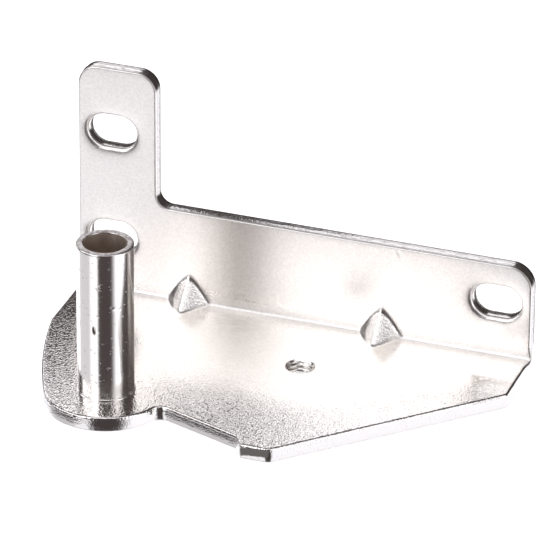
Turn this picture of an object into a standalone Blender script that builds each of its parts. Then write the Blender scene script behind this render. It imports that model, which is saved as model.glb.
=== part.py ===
"""Fridge door hinge: a punched and folded steel bracket, with a hollow pin swaged into its plate.

Metres, +Z up. X = 0 is the pin's axis, Y = 0 is the back face of the flange, which lies against the
cabinet, and Z = 0 is the line of the two lower screw slots. The plate reaches forward along -Y.
"""

import math

import bmesh
import bpy
from mathutils import Matrix, Vector

# Sheet
SHEET = 0.0032
BEND_INNER_RADIUS = 0.0010
EDGE_ROLL = 0.0005

# Where the datum lies
PIN_TO_BACK = 0.0448
SLOT_LINE_HEIGHT = 0.0156

# Flange and ear, as seen from the front. Heights are from the underside of the plate.
LEFT_END = 0.0217
RIGHT_END = 0.0794
FLANGE_HEIGHT = 0.0245
FLANGE_CORNER_RADIUS = 0.0050
EAR_WIDTH = 0.0174
EAR_HEIGHT = 0.0555
EAR_CORNER_RADIUS = 0.0043
EAR_FILLET_RADIUS = 0.0030

# Plate outline, as seen from above. Distances are from the pin's axis.
LOBE_RADIUS = 0.0130
SIDE_CORNER_Y = 0.0247
SIDE_ARC_RADIUS = 0.120
LOBE_FILLET_RADIUS = 0.0025
SLOPE_ANGLE = math.radians(-19.4)
SLOPE_OFFSET = 0.0015
JOG_LEFT = 0.0322
JOG_RIGHT = 0.0343
RIGHT_CORNER_Y = 0.0259

# Screw slots
SLOT_LENGTH = 0.0108
SLOT_WIDTH = 0.0075
SLOT_LEFT = 0.0142
SLOT_SPACING = 0.0860
SLOT_RISE = 0.0251

# Tapped hole, M6
TAP_X = 0.0350
TAP_TO_BACK = 0.02215
TAP_DRILL_RADIUS = 0.0025
TAP_COUNTERSINK = 0.0007

# Darts pressed into the fold
DART_XS = (0.0032, 0.0465)
DART_REACH = 0.0070
DART_HALF_ANGLE = math.radians(39.0)
DART_RIDGE_RADIUS = 0.0018

# Pin. Heights are from the top of the plate.
PIN_RADIUS = 0.0060
PIN_BORE_RADIUS = 0.00455
PIN_HEIGHT = 0.03415
PIN_CHAMFER = 0.00035
PIN_BORE_CHAMFER = 0.00025
PIN_SWAGE = 0.0008

# Gap between the pin and the plate, and how far a cutter runs past what it cuts
CLEARANCE = 0.0003
MARGIN = 0.0050

# Facets
ARC_STEP = math.radians(9.0)
SIDE_ARC_STEPS = 8
BEND_STEPS = 8
TURN_STEPS = 48

# Places that follow from the sizes above
UNDERSIDE = -SLOT_LINE_HEIGHT
PLATE_TOP = UNDERSIDE + SHEET
PIN_CENTRE = Vector((0.0, -PIN_TO_BACK))
BEND_LINE_Y = -SHEET - BEND_INNER_RADIUS
BEND_LINE_Z = PLATE_TOP + BEND_INNER_RADIUS


def clear_scene():
    for thing in list(bpy.data.objects):
        bpy.data.objects.remove(thing, do_unlink=True)


def new_collection(name):
    collection = bpy.data.collections.new(name)
    bpy.context.scene.collection.children.link(collection)
    return collection


def plated_steel(name, colour, roughness):
    material = bpy.data.materials.new(name)
    material.use_nodes = True
    shader = material.node_tree.nodes["Principled BSDF"]
    shader.inputs["Base Color"].default_value = (*colour, 1.0)
    shader.inputs["Metallic"].default_value = 1.0
    shader.inputs["Roughness"].default_value = roughness
    return material


def arc(centre, radius, start, end, least_steps=2):
    """Points along an arc, both ends included."""
    steps = max(least_steps, math.ceil(abs(end - start) / ARC_STEP))
    angles = [start + (end - start) * i / steps for i in range(steps + 1)]
    return [centre + radius * Vector((math.cos(a), math.sin(a))) for a in angles]


def angle_of(vector):
    return math.atan2(vector.y, vector.x)


def plate_outline():
    """The plate seen from above, from the left end of the fold round the front to its right end."""
    corner = Vector((-LEFT_END, PIN_CENTRE.y + SIDE_CORNER_Y))
    to_corner = corner - PIN_CENTRE
    # The long side arc starts at the corner and runs into the lobe round the pin.
    centre_distance = SIDE_ARC_RADIUS - LOBE_RADIUS
    cosine = centre_distance**2 + to_corner.length_squared - SIDE_ARC_RADIUS**2
    cosine /= 2 * centre_distance * to_corner.length
    toward = angle_of(to_corner) - math.acos(cosine)
    side_centre = PIN_CENTRE + centre_distance * Vector((math.cos(toward), math.sin(toward)))
    side_start = angle_of(corner - side_centre) % math.tau
    side_end = toward + math.pi
    side = arc(side_centre, SIDE_ARC_RADIUS, side_start, side_end, SIDE_ARC_STEPS)
    # A small fillet joins the lobe to the sloping front edge.
    along = Vector((math.cos(SLOPE_ANGLE), math.sin(SLOPE_ANGLE)))
    inward = Vector((-along.y, along.x))
    drop = SLOPE_OFFSET - LOBE_FILLET_RADIUS
    reach = math.sqrt((LOBE_RADIUS + LOBE_FILLET_RADIUS) ** 2 - drop**2)
    fillet_centre = PIN_CENTRE + drop * inward + reach * along
    lobe_end = angle_of(fillet_centre - PIN_CENTRE) + math.tau
    lobe = arc(PIN_CENTRE, LOBE_RADIUS, side_end, lobe_end)
    fillet = arc(fillet_centre, LOBE_FILLET_RADIUS, lobe_end - math.pi, angle_of(inward))
    # The front edge drops by a small jog, and the right corner is cut at 45 degrees.
    slope_at_jog = fillet[-1] + along * (JOG_LEFT - fillet[-1].x) / along.x
    front_y = PIN_CENTRE.y - LOBE_RADIUS
    right_corner_y = PIN_CENTRE.y + RIGHT_CORNER_Y
    cut = right_corner_y - front_y
    front = [slope_at_jog, Vector((JOG_RIGHT, front_y)), Vector((RIGHT_END - cut, front_y))]
    right = [Vector((RIGHT_END, right_corner_y))]
    return side + lobe[1:] + fillet[1:] + front + right


def flange_outline():
    """The flange and its ear seen from the front, from the right end of the fold round to its left end."""
    flange_top = UNDERSIDE + FLANGE_HEIGHT
    ear_top = UNDERSIDE + EAR_HEIGHT
    ear_right = -LEFT_END + EAR_WIDTH
    quarter = math.pi / 2
    corner = Vector((RIGHT_END - FLANGE_CORNER_RADIUS, flange_top - FLANGE_CORNER_RADIUS))
    inner = Vector((ear_right + EAR_FILLET_RADIUS, flange_top + EAR_FILLET_RADIUS))
    ear_a = Vector((ear_right - EAR_CORNER_RADIUS, ear_top - EAR_CORNER_RADIUS))
    ear_b = Vector((-LEFT_END + EAR_CORNER_RADIUS, ear_top - EAR_CORNER_RADIUS))
    return (
        arc(corner, FLANGE_CORNER_RADIUS, 0, quarter)
        + arc(inner, EAR_FILLET_RADIUS, 3 * quarter, 2 * quarter)
        + arc(ear_a, EAR_CORNER_RADIUS, 0, quarter)
        + arc(ear_b, EAR_CORNER_RADIUS, quarter, 2 * quarter)
    )


def folded_sheet():
    """The sheet's inner face as one open surface, given its thickness by Solidify."""
    bm = bmesh.new()
    rows = []
    for i in range(BEND_STEPS + 1):
        turn = math.pi / 2 * i / BEND_STEPS
        y = BEND_LINE_Y + BEND_INNER_RADIUS * math.sin(turn)
        z = BEND_LINE_Z - BEND_INNER_RADIUS * math.cos(turn)
        rows.append([bm.verts.new((x, y, z)) for x in (-LEFT_END, RIGHT_END)])
    for (low_left, low_right), (high_left, high_right) in zip(rows, rows[1:]):
        bm.faces.new((low_left, low_right, high_right, high_left))
    plate = [bm.verts.new((p.x, p.y, PLATE_TOP)) for p in plate_outline()]
    bm.faces.new(plate + rows[0][::-1])
    flange = [bm.verts.new((p.x, -SHEET, p.y)) for p in flange_outline()]
    bm.faces.new(rows[-1] + flange)
    mesh = bpy.data.meshes.new("bracket")
    bm.to_mesh(mesh)
    bm.free()
    sheet = bpy.data.objects.new("bracket", mesh)
    solidify = sheet.modifiers.new("sheet_thickness", "SOLIDIFY")
    solidify.thickness = SHEET
    solidify.offset = -1.0
    solidify.use_even_offset = True
    solidify.use_quality_normals = True
    return sheet


def as_cutter(obj, cutters):
    obj.hide_render = True
    obj.display_type = "WIRE"
    if not obj.users_collection:
        cutters.objects.link(obj)
    return obj


def prism(name, outline, matrix, length, cutters):
    """A closed solid: the outline in matrix's XY plane, extruded both ways along its Z axis."""
    curve = bpy.data.curves.new(name, "CURVE")
    curve.dimensions = "2D"
    curve.fill_mode = "BOTH"
    curve.extrude = length / 2
    spline = curve.splines.new("POLY")
    spline.points.add(len(outline) - 1)
    for point, place in zip(spline.points, outline):
        point.co = (place.x, place.y, 0.0, 1.0)
    spline.use_cyclic_u = True
    flat = bpy.data.objects.new(name + "_outline", curve)
    cutters.objects.link(flat)
    flat.matrix_world = matrix
    bpy.context.view_layer.update()
    graph = bpy.context.evaluated_depsgraph_get()
    mesh = bpy.data.meshes.new_from_object(flat.evaluated_get(graph))
    bm = bmesh.new()
    bm.from_mesh(mesh)
    bmesh.ops.remove_doubles(bm, verts=bm.verts, dist=1e-6)
    bmesh.ops.recalc_face_normals(bm, faces=bm.faces)
    bm.to_mesh(mesh)
    bm.free()
    solid = bpy.data.objects.new(name, mesh)
    solid.matrix_world = matrix
    bpy.data.objects.remove(flat, do_unlink=True)
    bpy.data.curves.remove(curve)
    return as_cutter(solid, cutters)


def turned(name, section, closed):
    """A turned solid. The section's (radius, height) points run down its outer side."""
    mesh = bpy.data.meshes.new(name)
    last = len(section) if closed else len(section) - 1
    edges = [(i, (i + 1) % len(section)) for i in range(last)]
    mesh.from_pydata([(radius, 0.0, height) for radius, height in section], edges, [])
    solid = bpy.data.objects.new(name, mesh)
    turn = solid.modifiers.new("turn", "SCREW")
    turn.steps = TURN_STEPS
    turn.render_steps = TURN_STEPS
    turn.use_merge_vertices = True
    turn.merge_threshold = 1e-6
    return solid


def combine(obj, other, operation):
    modifier = obj.modifiers.new(other.name, "BOOLEAN")
    modifier.operation = operation
    modifier.solver = "EXACT"
    modifier.object = other


def slot_outline():
    half = (SLOT_LENGTH - SLOT_WIDTH) / 2
    radius = SLOT_WIDTH / 2
    right = arc(Vector((half, 0.0)), radius, -math.pi / 2, math.pi / 2)
    left = arc(Vector((-half, 0.0)), radius, math.pi / 2, 3 * math.pi / 2)
    return right + left


def slot_places():
    """Centre of each screw slot in X and Z."""
    return {
        "slot_low_left": (-SLOT_LEFT, 0.0),
        "slot_low_right": (-SLOT_LEFT + SLOT_SPACING, 0.0),
        "slot_ear": (-SLOT_LEFT, SLOT_RISE),
    }


def dart_matrix(x):
    """At the inner corner of the fold: X along the fold, Y out of the corner at 45 degrees."""
    out = Vector((0.0, -1.0, 1.0)).normalized()
    along_fold = Vector((1.0, 0.0, 0.0))
    ridge = along_fold.cross(out)
    matrix = Matrix((along_fold, out, ridge)).transposed().to_4x4()
    matrix.translation = (x, -SHEET, PLATE_TOP)
    return matrix


def dart_apex():
    """How far out of the corner the two slopes of a dart would meet without the ridge's rounding."""
    top = DART_REACH / math.sqrt(2)
    return top - DART_RIDGE_RADIUS + DART_RIDGE_RADIUS / math.sin(DART_HALF_ANGLE)


def dart_outline():
    """Section of the dart's inner side: two slopes and a rounded ridge."""
    base = -2 * SHEET
    half = (dart_apex() - base) * math.tan(DART_HALF_ANGLE)
    centre = Vector((0.0, DART_REACH / math.sqrt(2) - DART_RIDGE_RADIUS))
    ridge = arc(centre, DART_RIDGE_RADIUS, DART_HALF_ANGLE, math.pi - DART_HALF_ANGLE)
    return [Vector((-half, base)), Vector((half, base))] + ridge


def dent_outline():
    """Section of the dent that the same punch leaves in the outer side, one sheet under the ridge."""
    apex = dart_apex() - SHEET / math.sin(DART_HALF_ANGLE)
    base = -2 * SHEET - MARGIN
    half = (apex - base) * math.tan(DART_HALF_ANGLE)
    return [Vector((-half, base)), Vector((half, base)), Vector((0.0, apex))]


def add_dart(sheet, number, x, cutters):
    """Joins the ridge to the inner side of the fold and cuts the dent from the outer side."""
    matrix = dart_matrix(x)
    length = 2 * (DART_REACH + SHEET + MARGIN)
    name = f"dart_{number}"
    ridge = prism(name, dart_outline(), matrix, length, cutters)
    # The ridge is kept to the corner, with its back half a sheet deep in the plate and the flange.
    depth = SHEET / 2
    leg = DART_REACH + 2 * depth
    corner = [Vector((depth, -depth)), Vector((depth, leg)), Vector((-leg, -depth))]
    upright = Matrix(((0, 0, 1, x), (1, 0, 0, -SHEET), (0, 1, 0, PLATE_TOP), (0, 0, 0, 1)))
    block = prism(name + "_corner", corner, upright, length, cutters)
    combine(ridge, block, "INTERSECT")
    combine(sheet, ridge, "UNION")
    combine(sheet, prism(name + "_dent", dent_outline(), matrix, length, cutters), "DIFFERENCE")


def on_inner_face(place):
    tolerance = 1e-6
    if abs(place.z - PLATE_TOP) < tolerance and place.y < BEND_LINE_Y + tolerance:
        return True
    if abs(place.y + SHEET) < tolerance and place.z > BEND_LINE_Z - tolerance:
        return True
    from_bend = math.hypot(place.y - BEND_LINE_Y, place.z - BEND_LINE_Z)
    return abs(from_bend - BEND_INNER_RADIUS) < tolerance and place.y > BEND_LINE_Y


def roll_edges(sheet):
    """Applies the modifiers so far, and rounds the edges that the punch drew in, all on the inner face."""
    bpy.context.view_layer.update()
    graph = bpy.context.evaluated_depsgraph_get()
    mesh = bpy.data.meshes.new_from_object(sheet.evaluated_get(graph))
    sheet.modifiers.clear()
    bm = bmesh.new()
    bm.from_mesh(mesh)
    bmesh.ops.dissolve_limit(
        bm, angle_limit=math.radians(0.1), verts=bm.verts, edges=bm.edges, delimit={"NORMAL"}
    )
    rim = [
        edge
        for edge in bm.edges
        if edge.is_convex
        and edge.calc_face_angle() > math.radians(60)
        and all(on_inner_face(vert.co) for vert in edge.verts)
    ]
    bmesh.ops.bevel(bm, geom=rim, offset=EDGE_ROLL, segments=2, profile=0.5, affect="EDGES")
    bm.to_mesh(mesh)
    bm.free()
    sheet.data = mesh
    mesh.name = sheet.name


def bore(sheet, name, x, y, radius, top_sink, under_sink, cutters):
    """Bores the plate, with a 45 degree countersink of the given depth on either face."""
    high = PLATE_TOP + MARGIN
    low = UNDERSIDE - MARGIN
    section = [(0.0, high)]
    if top_sink:
        section += [(radius + top_sink + MARGIN, high), (radius, PLATE_TOP - top_sink)]
    else:
        section += [(radius, high)]
    section += [(radius, UNDERSIDE + under_sink), (radius + under_sink + MARGIN, low), (0.0, low)]
    drill = as_cutter(turned(name, section, closed=False), cutters)
    drill.location = (x, y, 0.0)
    combine(sheet, drill, "DIFFERENCE")


def make_bracket(parts, cutters):
    sheet = folded_sheet()
    parts.objects.link(sheet)
    for number, x in enumerate(DART_XS, 1):
        add_dart(sheet, number, x, cutters)
    facing = Matrix(((1, 0, 0, 0), (0, 0, -1, 0), (0, 1, 0, 0), (0, 0, 0, 1)))
    for name, (x, z) in slot_places().items():
        place = Matrix.Translation((x, -SHEET / 2, z)) @ facing
        combine(sheet, prism(name, slot_outline(), place, SHEET + 2 * MARGIN, cutters), "DIFFERENCE")
    roll_edges(sheet)
    sink = TAP_COUNTERSINK
    bore(sheet, "tapped_hole", TAP_X, -TAP_TO_BACK, TAP_DRILL_RADIUS, sink, sink, cutters)
    bore(sheet, "pin_hole", 0.0, PIN_CENTRE.y, PIN_RADIUS + CLEARANCE, 0.0, PIN_SWAGE, cutters)
    sheet.data.materials.append(plated_steel("plated_sheet", (0.80, 0.79, 0.77), 0.28))
    sheet.data.shade_smooth()
    sheet.data.set_sharp_from_angle(angle=math.radians(25))


def make_pin(parts):
    """The pin's section, down its outer side and back up its bore. Its foot is swaged out under the plate."""
    section = [
        (PIN_RADIUS - PIN_CHAMFER, PIN_HEIGHT),
        (PIN_RADIUS, PIN_HEIGHT - PIN_CHAMFER),
        (PIN_RADIUS, PIN_SWAGE - SHEET),
        (PIN_RADIUS + PIN_SWAGE, -SHEET),
        (PIN_BORE_RADIUS + PIN_SWAGE, -SHEET),
        (PIN_BORE_RADIUS, PIN_SWAGE - SHEET),
        (PIN_BORE_RADIUS, PIN_HEIGHT - PIN_BORE_CHAMFER),
        (PIN_BORE_RADIUS + PIN_BORE_CHAMFER, PIN_HEIGHT),
    ]
    pin = turned("hinge_pin", section, closed=True)
    parts.objects.link(pin)
    pin.location = (PIN_CENTRE.x, PIN_CENTRE.y, PLATE_TOP)
    pin.modifiers["turn"].use_smooth_shade = True
    pin.data.materials.append(plated_steel("plated_tube", (0.82, 0.81, 0.79), 0.16))


def main():
    clear_scene()
    parts = new_collection("fridge_door_hinge")
    cutters = new_collection("cutters")
    make_bracket(parts, cutters)
    make_pin(parts)


main()
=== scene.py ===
"""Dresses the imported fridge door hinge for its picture. Metres, +Z up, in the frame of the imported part.

The bracket is drawn as a flat blank with its punched edges rolled over. Geometry Nodes press and fold it,
cut its thread and turn its pin. Both pieces are plated bright and lie in a white studio.
"""

import math
from types import SimpleNamespace

import bmesh
import bpy
import numpy as np
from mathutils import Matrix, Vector
from mathutils.geometry import delaunay_2d_cdt


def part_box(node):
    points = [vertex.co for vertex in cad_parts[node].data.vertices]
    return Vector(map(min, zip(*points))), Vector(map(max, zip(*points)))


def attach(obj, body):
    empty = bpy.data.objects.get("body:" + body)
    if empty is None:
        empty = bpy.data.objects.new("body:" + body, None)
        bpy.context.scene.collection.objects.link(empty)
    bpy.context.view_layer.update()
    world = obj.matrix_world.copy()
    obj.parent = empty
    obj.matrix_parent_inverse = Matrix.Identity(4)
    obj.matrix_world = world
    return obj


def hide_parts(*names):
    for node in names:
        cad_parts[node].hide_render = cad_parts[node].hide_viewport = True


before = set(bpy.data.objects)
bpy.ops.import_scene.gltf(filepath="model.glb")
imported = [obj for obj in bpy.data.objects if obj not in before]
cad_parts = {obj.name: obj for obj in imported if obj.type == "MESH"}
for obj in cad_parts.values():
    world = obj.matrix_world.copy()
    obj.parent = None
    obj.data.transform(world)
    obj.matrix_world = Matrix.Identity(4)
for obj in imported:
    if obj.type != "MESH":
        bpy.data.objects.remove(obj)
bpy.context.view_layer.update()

MM = 0.001
RIGHT_ANGLE = math.pi / 2


def mm(*lengths):
    """Lengths in millimetres, as a tuple in metres."""
    return tuple(length * MM for length in lengths)


# The frame's extents
bracket_low, bracket_high = (Vector(corner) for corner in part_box("bracket"))
pin_low, pin_high = (Vector(corner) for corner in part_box("hinge_pin"))
LEFT_END, RIGHT_END = bracket_low.x, bracket_high.x
FRONT, BACK = bracket_low.y, bracket_high.y
UNDERSIDE, EAR_TOP = bracket_low.z, bracket_high.z
PIN = Vector(((pin_low.x + pin_high.x) / 2, (pin_low.y + pin_high.y) / 2))

# Sheet and fold
SHEET = 3.2 * MM
BEND_RADIUS = 1.0 * MM
PLATE_TOP = UNDERSIDE + SHEET
FOLD_Y = BACK - SHEET - BEND_RADIUS
FOLD_Z = PLATE_TOP + BEND_RADIUS
FOLD_LENGTH = BEND_RADIUS * RIGHT_ANGLE
FOLD_BULGE = 0.55 * MM
FOLD_BULGE_REACH = 1.6 * MM
SWELL_WIDTH = 1.8
SWELL_TURN = 1.5

# Plate outline, from the pin's axis
LOBE_RADIUS = PIN.y - FRONT
SIDE_CORNER_Y = 24.7 * MM
SIDE_ARC_RADIUS = 120 * MM
LOBE_FILLET_RADIUS = 2.5 * MM
SLOPE_ANGLE = math.radians(-19.4)
SLOPE_OFFSET = 1.5 * MM
JOG_LEFT = 32.2 * MM
JOG_RIGHT = 34.3 * MM
RIGHT_CORNER_Y = 25.9 * MM
SIDE_CORNER_RADIUS = 2.0 * MM
JOG_CORNER_RADIUS = 0.35 * MM
FRONT_CORNER_RADIUS = 2.2 * MM
RIGHT_CORNER_RADIUS = 0.6 * MM

# Flange and ear
FLANGE_TOP = UNDERSIDE + 24.5 * MM
FLANGE_CORNER_RADIUS = 5.0 * MM
EAR_RIGHT = LEFT_END + 17.4 * MM
EAR_CORNER_RADIUS = 4.3 * MM
EAR_FILLET_RADIUS = 3.0 * MM

# Screw slots, with their centres in X and Z
SLOT_LENGTH = 10.8 * MM
SLOT_WIDTH = 7.5 * MM
SLOT_CENTRES = (mm(-14.2, 0.0), mm(71.8, 0.0), mm(-14.2, 25.1))

# Tapped hole, M6
TAP = Vector(mm(35.0, -22.15))
THREAD_MINOR = 2.5 * MM
THREAD_MAJOR = 3.0 * MM
THREAD_PITCH = 1.0 * MM
TAP_MOUTH = 3.2 * MM
THREAD_SLOPE, THREAD_FLAT = 1.3, 0.15

# Darts
DART_XS = mm(3.2, 46.5)
DART_REACH = 6.0 * MM
DART_HALF_WIDTH = 4.6 * MM
DART_FULLNESS = 1.3
DART_BLEND = 1.3 * MM

# Punched edges
ROLL_WIDTH = 0.42 * MM
ROLL_DEPTH = 0.42 * MM
FLANGE_ROLL_SHARE = 0.6
RIM_DRAW_IN = 0.05 * MM
SLOT_ROLL_SHARE = 1.6
SLOT_DRAW_IN = 0.28 * MM
DRAW_REACH = 0.9 * MM
BURR_ROUND = 0.12 * MM
PLATE_TEAR = 2.15 * MM
FLANGE_TEAR = 1.6 * MM
ROLL_WOBBLE = 0.12
ROLL_WOBBLE_SIZE = 1.6 * MM
TEAR_WOBBLE = 0.24 * MM
TEAR_WOBBLE_SIZE = 1.2 * MM
SHEAR_LEAN = 0.14 * MM
TEAR_ANGLE = math.radians(12)
TEAR_LIP = 0.05 * MM
# Along V, where an edge changes from the plate's cut to the flange's
CUT_CHANGE = mm(0.0, 6)
# The cut_face attribute on each band of a cut, and the rows of points across that band as shares of it
SHEARED, TORN = 0.4, 1.0
SHEARED_ROWS = (0.3, 0.9)
TORN_ROWS = (0.1, 0.8)

# Pin
PIN_RADIUS = 6.0 * MM
PIN_BORE_RADIUS = 4.55 * MM
PIN_TOP = pin_high.z
PIN_OUTER_ROUND = 0.35 * MM
PIN_BORE_ROUND = 0.25 * MM
PIN_SWAGE = 0.8 * MM
PIN_BEAD = 0.20 * MM
PIN_SEAT = 0.02 * MM
SPLAY_REACH = 4 * PIN_SWAGE
# Share of the radius beyond which a mark is pressed in
PIN_SKIN = 0.9

# Fineness of the meshes
EDGE_STEP = 0.38 * MM
ARC_STEP = math.radians(7)
FOLD_ROWS = 9
ROLL_STEPS = 5
DART_STEP = 0.32 * MM
FOLD_STEP = 1.5 * MM
GRID_STEP = 2.5 * MM
HOLE_STEPS = 72
THREAD_ROWS = 49
TURN_STEPS = 288
PIN_ROW = 0.22 * MM
BORE_ROWS = 12
ROUND_STEPS = 5
WELD = 1e-6
SHARP_ANGLE = math.radians(40)
# Rows of points behind a rolled edge, and how close two points of a row may stand
ROW_GAPS = mm(0.35, 0.8, 1.4)
ROW_CLEAR = 0.97
ROW_CROWD = 0.25 * EDGE_STEP
# The fine patch round a dart: half its width, its run past the dart, and its gaps to the points beyond
PATCH_HALF = 5.9 * MM
PATCH_RUN = 1.6 * MM
PATCH_FOLD_GAP = 0.3 * MM
PATCH_GRID_GAP = 0.5 * MM
FOLD_GRID_GAP = 1.0 * MM
# Gaps to the rows behind an edge, and to a hole without them
ROWS_GAP = 0.2 * MM
HOLE_GAP = 0.3 * MM

# Small nicks in the sheet: x, then y on the plate or z on the flange, width, length
PLATE_NICKS = (
    mm(21.9, -21.3, 0.16, 0.34),
    mm(58.8, -15.5, 0.16, 0.26),
)
FLANGE_NICKS = (
    mm(50.3, 7.6, 0.20, 0.55),
    mm(26.4, 7.4, 0.22, 0.22),
    mm(-17.4, 4.4, 0.14, 0.60),
)
NICK_DEPTH = 0.10 * MM
NICK_STEP = 0.11 * MM
NICK_MARGIN = 0.2 * MM

# Marks on the pin: degrees round it from the front, height over the plate, half width, half length, depth
PIN_MARKS = (
    (-2.5, *mm(16.6, 0.26, 0.80, 0.24)),
    (34, *mm(21.9, 0.45, 0.14, 0.09)),
    (44, *mm(21.2, 0.65, 0.12, 0.12)),
    (24, *mm(18.8, 0.30, 0.30, 0.03)),
    (-27, *mm(20.1, 0.16, 0.50, 0.03)),
    (-28, *mm(7.6, 0.18, 0.35, 0.03)),
)

# Camera, at the photograph's angle
VIEW_AZIMUTH = math.radians(19.141)
VIEW_ELEVATION = math.radians(27.886)
VIEW_ROLL = math.radians(0.451)
VIEW_DISTANCE = 1251.16 * MM
VIEW_AIM = Vector((30.53, -25.93, 10.32)) * MM
LENS = 394.26
SENSOR = 36.0
CLIP_START = 50 * MM

# Colours of the plating
LIGHT_PLATING = (0.97, 0.945, 0.905, 1.0)
DARK_PLATING = (0.87, 0.84, 0.80, 1.0)
# Painted shade on the front of the plate and its lobe
FRONT_PAINTED_SHADE = (0.78, 0.755, 0.73, 1.0)
# A dark patch painted by the plate's right corner
DARK_PATCH_PLATING = (0.27, 0.245, 0.215, 1.0)
# Painted shade along the foot of each dart's left side
PAINTED_CREASE_SHADE = (0.10, 0.09, 0.085, 1.0)
PLATE_CUT = (0.76, 0.745, 0.725, 1.0)
# Painted shade on the flange's cut edges
FLANGE_CUT_SHADE = (0.70, 0.68, 0.655, 1.0)
# Score lines, and painted shade on the far side of the flange's cut edges
SCORES_AND_FAR_SHADE = (0.26, 0.245, 0.235, 1.0)
PIN_PLATING = (0.93, 0.905, 0.87, 1.0)
# Brown bore, darkened as painted shade inside the tube
BORE_BROWN_AND_SHADE = (0.72, 0.63, 0.55, 1.0)
SCUFF_DARK = (0.42, 0.38, 0.36, 1.0)
SCUFF_LIGHT = (0.80, 0.77, 0.74, 1.0)

# Spot sizes of the patterns in the sheet's plating, and how far its finest bumps rise
GRAIN_SIZE = 0.34 * MM
PEEL_SIZE = 1.6 * MM
DRIFT_SIZE = 22 * MM
MOTTLE_SIZE = 0.42 * MM
BROKEN_SIZE = 0.5 * MM
STREAK_SIZE, STREAK_SQUEEZE = 0.22 * MM, 0.12
SHEET_BUMP = 0.044 * MM

# Share of the grain, and change of roughness, on each zone of the sheet
GRAIN_ON = {"sheet": 0.3, "plate": 0.3, "front": 0.9, "dart": 0.7, "cut": 0.3}
PEEL_SHARE, BROKEN_SHARE = 0.35, 0.4
ROUGH_ON = {"sheet": 0.29, "plate": -0.08, "front": -0.12, "fold": 0.15, "dart": -0.09, "dart_foot": 0.10}
CUT_ROUGHNESS, TORN_ROUGHNESS = 0.14, 0.07

# Where the sheet's zones run, each from none of it to all of it
CUT_RAMP = (0.1, 0.3)
TORN_RAMP = (0.5, 0.9)
PLATE_RAMP = (PLATE_TOP + 5 * MM, PLATE_TOP + 0.5 * MM)
UPPER_CUT_RAMP = (PLATE_TOP + 1 * MM, PLATE_TOP + 3 * MM)
LOBE_RAMP = mm(-2, -8)
FRONT_RAMP = mm(-33, -43)
FRONT_TURN, FRONT_SLOPE = 40 * MM, 0.69
DART_RAMP = mm(0.05, 0.3)
FOLD_RAMP = mm(3.0, 1.0)
MOTTLE_RAMP = (0.3, 0.7)
DRIFT_SHARE = 0.25
STREAK_RAMP, STREAK_SHARE = (0.56, 0.66), 0.75
FAR_SIDE_SHADE_RAMP = mm(-0.75, -0.45)
# Share of the painted shade on the front of the plate
FRONT_SHADE_SHARE = 0.6

# The painted shade along the foot of each dart's left side: its band from the dart's middle, and its width
# between the tip and the fold
CREASE_SHADE_BAND = mm(-6.9, -5.1, -3.2, -1.4)
CREASE_SHADE_WIDTH, CREASE_SHADE_SPREAD = mm(0.2, 1.8)
CREASE_SHADE_RAMP = mm(5.0, 1.5)
CREASE_SHADE_START = mm(0.02, 0.12)
CREASE_SHADE_CORE, CREASE_SHADE_SHARE = 0.4, 0.85

# The dark patch painted by the plate's right corner
DARK_PATCH_LEFT, DARK_PATCH_BACK, DARK_PATCH_SLANT = 69.0 * MM, -12.4 * MM, 0.33
DARK_PATCH_LEFT_FADE, DARK_PATCH_BACK_FADE, DARK_PATCH_RIGHT_FADE = mm(1.2, 2, 16)
DARK_PATCH_SPOTS, DARK_PATCH_RAMP = 0.6 * MM, (0.2, 0.6)

# The pin's plating
BORE_RAMP = (PIN_BORE_RADIUS + 0.12 * MM, PIN_BORE_RADIUS + 0.03 * MM)
BORE_MOUTH_RAMP = (PIN_TOP - 0.15 * MM, PIN_TOP - 0.5 * MM)
END_RAMP = (PIN_TOP - 0.16 * MM, PIN_TOP - 0.04 * MM)
FINE_SIZE = 0.5 * MM
SPECK_SIZE, SPECK_RAMP = 0.7 * MM, (0.74, 0.80)
SCUFF_SIZE, SCUFF_RAMP = 0.35 * MM, (0.35, 0.65)
PIN_ROUGH_ON = {"pin": 0.14, "fine": 0.06, "bore": 0.3, "speck": 0.2, "end": 0.25}
SPECK_RISE, END_RISE = 1.5, 5
PIN_BUMP = 0.004 * MM

# What the plating reflects: white panels, and the dark room between them
WHITE = (1.0, 1.0, 1.0, 1.0)
BLACK = (0.0, 0.0, 0.0, 1.0)
WHITE_PANELS = (2.00, 1.99, 2.10, 1.0)
DARK_ROOM = (0.072, 0.060, 0.060, 1.0)
FRONT_CARD = (0.56, 0.54, 0.54, 1.0)
EDGE_CARD = (0.16, 0.15, 0.15, 1.0)

# Share of white in the studio. Angles are in degrees, and a band has four: it begins, is whole, begins to
# fade and ends.
WALLS, WALLS_GAIN, WALLS_BAND = 0.72, 0.24, (-95, -55, 55, 95)
CEILING, CEILING_RAMP = 0.62, (36, 52)
TABLE, TABLE_RAMP = 0.67, (2, -6)
TABLE_SHADES = ((0.31, (-104, -96, -47, -39)), (0.06, (-43, -35, -4, 4)))
OVERHEAD_GAP = (41, 49, 94, 102)
NADIR_GAP, NADIR_DEPTH = (-60, -68), 0.8
# Gaps between the panels: azimuth from the front or from the back, its band, elevation band, darkness
GAPS = (
    ("front", (-12, -6, 42, 70), (-64, -56, 41, 49), 1.0),
    ("front", (-71, -61, -43, -33), (0, 8, 20, 28), 1.0),
    ("front", (53, 67, 83, 97), (17, 29, 34, 46), 0.55),
    ("front", (-121, -109, -36, -24), (-26, -22, 0, 4), 1.0),
    ("front", (-44, -36, -4, 4), (-20, -16, 0, 4), 1.0),
    ("front", (80, 88, 108, 116), (-1, 5, 14, 20), 0.5),
    ("back", (-12, -4, 74, 82), (-23, -13, 41, 51), 1.0),
    ("back", (-65, -55, -3, 7), (-29, -21, 12, 20), 1.0),
)

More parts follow.
